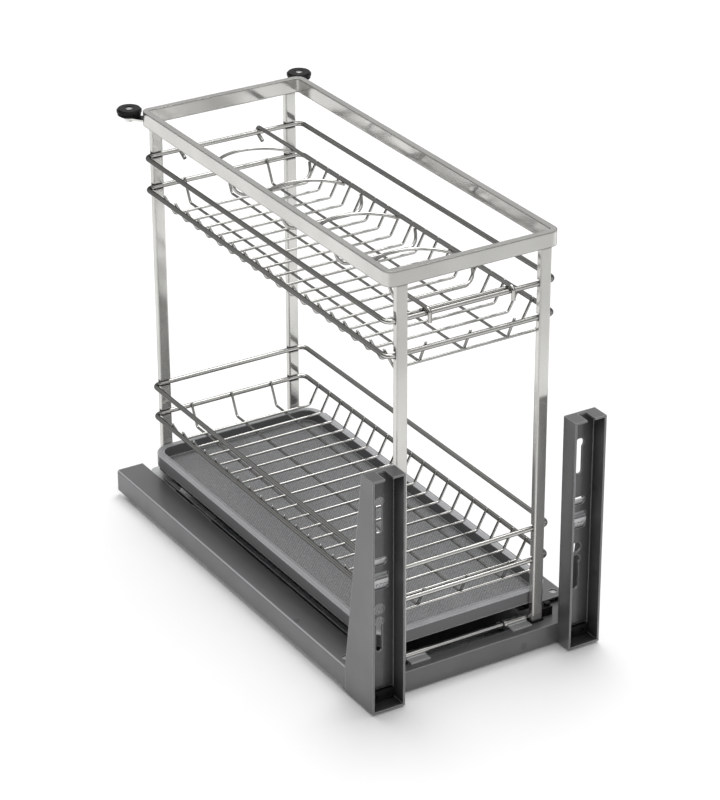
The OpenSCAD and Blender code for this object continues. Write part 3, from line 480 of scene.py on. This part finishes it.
def dress_nodes():
    """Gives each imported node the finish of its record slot, or its own where one slot holds two looks."""
    for part in frame["record"]["subparts"]:
        node = part["node"]
        look = OWN_LOOKS.get(node, LOOKS[part["material_slot"]])
        mesh = frame["nodes"][node].data
        mesh.materials.clear()
        mesh.materials.append(look)


dress_nodes()


# Basket wires' ends: each rises from the floor's edge and is welded to the inner side of its rail
def wire_end_route(rise):
    """Route of a wire's end, out from the floor and up by rise; the rail's centre is the origin."""
    touch = (RAIL_D + WIRE_D) / 2
    reach = math.hypot(FLOOR_INSET, rise)
    lean = math.atan2(rise, FLOOR_INSET) + math.asin(touch / reach)
    knee = Vector((-FLOOR_INSET, -rise))
    bend_middle = knee + Vector((-WIRE_BEND * math.tan(lean / 2), WIRE_BEND))
    route = [bend_middle + Vector((-WIRE_LAP, -WIRE_BEND))]
    for step in range(BEND_STEPS + 1):
        turn = lean * step / BEND_STEPS
        route.append(bend_middle + WIRE_BEND * Vector((math.sin(turn), -math.cos(turn))))
    length = math.sqrt(reach ** 2 - touch ** 2) + WIRE_PAST_RAIL
    route.append(knee + length * Vector((math.cos(lean), math.sin(lean))))
    return route


def add_wire(mesh, route, across):
    """Adds a round wire with a domed last end; across is square to the plane of its route."""
    radius = WIRE_D / 2
    stations = []
    for i, point in enumerate(route):
        way = route[min(i + 1, len(route) - 1)] - route[max(i - 1, 0)]
        stations.append((point, way.normalized(), radius))
    tip, way, _ = stations[-1]
    for step in range(1, DOME_STEPS):
        turn = math.pi / 2 * step / DOME_STEPS
        stations.append((tip + math.sin(turn) * radius * way, way, math.cos(turn) * radius))
    turns = [math.tau * k / WIRE_SIDES for k in range(WIRE_SIDES)]
    rings = []
    for point, way, ring_r in stations:
        beside = way.cross(across)
        places = [point + ring_r * (math.cos(a) * across + math.sin(a) * beside) for a in turns]
        rings.append([mesh.verts.new(place) for place in places])
    for ring, following in zip(rings, rings[1:]):
        for k in range(WIRE_SIDES):
            after = (k + 1) % WIRE_SIDES
            mesh.faces.new((ring[k], ring[after], following[after], following[k]))
    mesh.faces.new(rings[0])
    mesh.faces.new(rings[-1])


def wire_ends(node, rails, outward, count):
    """A basket's wire ends on both sides along outward, an axis number, in place of that node."""
    low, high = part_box(node)
    rail_low, rail_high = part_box(rails)
    along = 1 - outward
    rail_z = rail_low.z + RAIL_D / 2
    rise = rail_z - low.z - WIRE_D / 2
    first, last = low[along] + WIRE_D / 2, high[along] - WIRE_D / 2
    across = Vector((0, 0, 0))
    across[along] = 1
    mesh = bmesh.new()
    for rail, sense in ((rail_high[outward] - RAIL_D / 2, 1), (rail_low[outward] + RAIL_D / 2, -1)):
        for k in range(count):
            route = []
            for out, up in wire_end_route(rise):
                point = Vector((0, 0, rail_z + up))
                point[outward] = rail + sense * out
                point[along] = first + (last - first) * k / (count - 1)
                route.append(point)
            add_wire(mesh, route, across)
    bmesh.ops.recalc_face_normals(mesh, faces=mesh.faces)
    data = bpy.data.meshes.new(node + "_welded")
    mesh.to_mesh(data)
    mesh.free()
    data.shade_smooth()
    data.materials.append(wire_chrome)
    thing = bpy.data.objects.new(node + "_welded", data)
    bpy.context.scene.collection.objects.link(thing)
    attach(thing, "carriage")
    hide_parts(node)


for basket in ("upper_basket", "lower_basket"):
    wire_ends(basket + "_side_wires", basket + "_rails", 0, CROSS_WIRES)
    wire_ends(basket + "_end_wires", basket + "_rails", 1, LONG_WIRES)


# Floor, world, light and camera
def floor():
    """A wide pale floor, white to the camera and in mirrors, where it darkens a little in front."""
    mesh = bpy.data.meshes.new("floor")
    side = FLOOR_HALF
    corners = [(-side, -side, 0), (side, -side, 0), (side, side, 0), (-side, side, 0)]
    mesh.from_pydata(corners, [], [(0, 1, 2, 3)])
    thing = bpy.data.objects.new("floor", mesh)
    bpy.context.scene.collection.objects.link(thing)
    material, graph = new_material("floor")
    path = graph.add("ShaderNodeLightPath").outputs
    shown = graph.math("MAXIMUM", path["Is Camera Ray"], path["Is Glossy Ray"])
    shown = graph.math("MAXIMUM", shown, path["Is Transmission Ray"])
    along = graph.split(graph.place())["Y"]
    front = graph.math("MULTIPLY", graph.between(along, *FLOOR_FRONT_SPAN), path["Is Glossy Ray"])
    mirrored = graph.blend(front, grey(FLOOR_MIRRORED), grey(FLOOR_MIRRORED_FRONT))
    tint = graph.blend(shown, grey(FLOOR_BOUNCE), mirrored)
    shader = graph.add("ShaderNodeBsdfDiffuse", Color=tint)
    mesh.materials.append(finish_material(material, graph, shader))


def world():
    """A studio: even light for matt surfaces, and for metal a white ceiling over darker walls."""
    scene = bpy.context.scene
    scene.world = bpy.data.worlds.new("studio")
    scene.world.use_nodes = True
    scene.world.node_tree.nodes.clear()
    graph = Graph(scene.world.node_tree)
    path = graph.add("ShaderNodeLightPath").outputs
    direction = graph.add("ShaderNodeTexCoord").outputs["Generated"]
    height = graph.split(direction)["Z"]
    wall = graph.between(graph.dot(direction, BRIGHT_WALL_AT), *WALL_SPAN, *WALL_TONE)
    tone = graph.math("MULTIPLY_ADD", graph.between(height, *HORIZON_SPAN), HORIZON_TONE, wall)
    tone = graph.math("MULTIPLY_ADD", graph.between(height, *CEILING_SPAN), CEILING_TONE, tone)
    mirrored = graph.add("ShaderNodeCombineXYZ", _0=tone, _1=tone, _2=tone).outputs[0]
    shown = graph.blend(path["Is Glossy Ray"], grey(AMBIENT), mirrored)
    shown = graph.blend(path["Is Camera Ray"], shown, grey(1.0))
    light = graph.add("ShaderNodeBackground", Color=shown)
    graph.add("ShaderNodeOutputWorld", Surface=light.outputs[0])


def lamp(name, strength, angle, source):
    """A broad soft lamp far off in the direction of source."""
    data = bpy.data.lights.new(name, "SUN")
    data.energy = strength
    data.angle = angle
    thing = bpy.data.objects.new(name, data)
    thing.rotation_mode = "QUATERNION"
    thing.rotation_quaternion = source.to_track_quat("Z", "Y")
    bpy.context.scene.collection.objects.link(thing)


def camera():
    """The photograph's camera."""
    data = bpy.data.cameras.new("camera")
    data.sensor_width = SENSOR
    data.lens = CAMERA_LENS
    data.clip_start, data.clip_end = CAMERA_CLIP
    level = math.cos(CAMERA_PITCH)
    forward = Vector((math.sin(CAMERA_YAW) * level, math.cos(CAMERA_YAW) * level, -math.sin(CAMERA_PITCH)))
    right = Vector((math.cos(CAMERA_YAW), -math.sin(CAMERA_YAW), 0.0))
    up = right.cross(forward)
    across = math.cos(CAMERA_ROLL) * right + math.sin(CAMERA_ROLL) * up
    upright = math.cos(CAMERA_ROLL) * up - math.sin(CAMERA_ROLL) * right
    thing = bpy.data.objects.new("camera", data)
    turn = Matrix((across, upright, -forward)).transposed()
    thing.matrix_world = Matrix.Translation(CAMERA_PLACE) @ turn.to_4x4()
    bpy.context.scene.collection.objects.link(thing)
    bpy.context.scene.camera = thing


floor()
world()
lamp("overhead", SUN_STRENGTH, SUN_ANGLE, SUN_FROM)
lamp("front_fill", FILL_STRENGTH, FILL_ANGLE, FILL_FROM)
camera()
bpy.context.scene.view_settings.view_transform = "Standard"
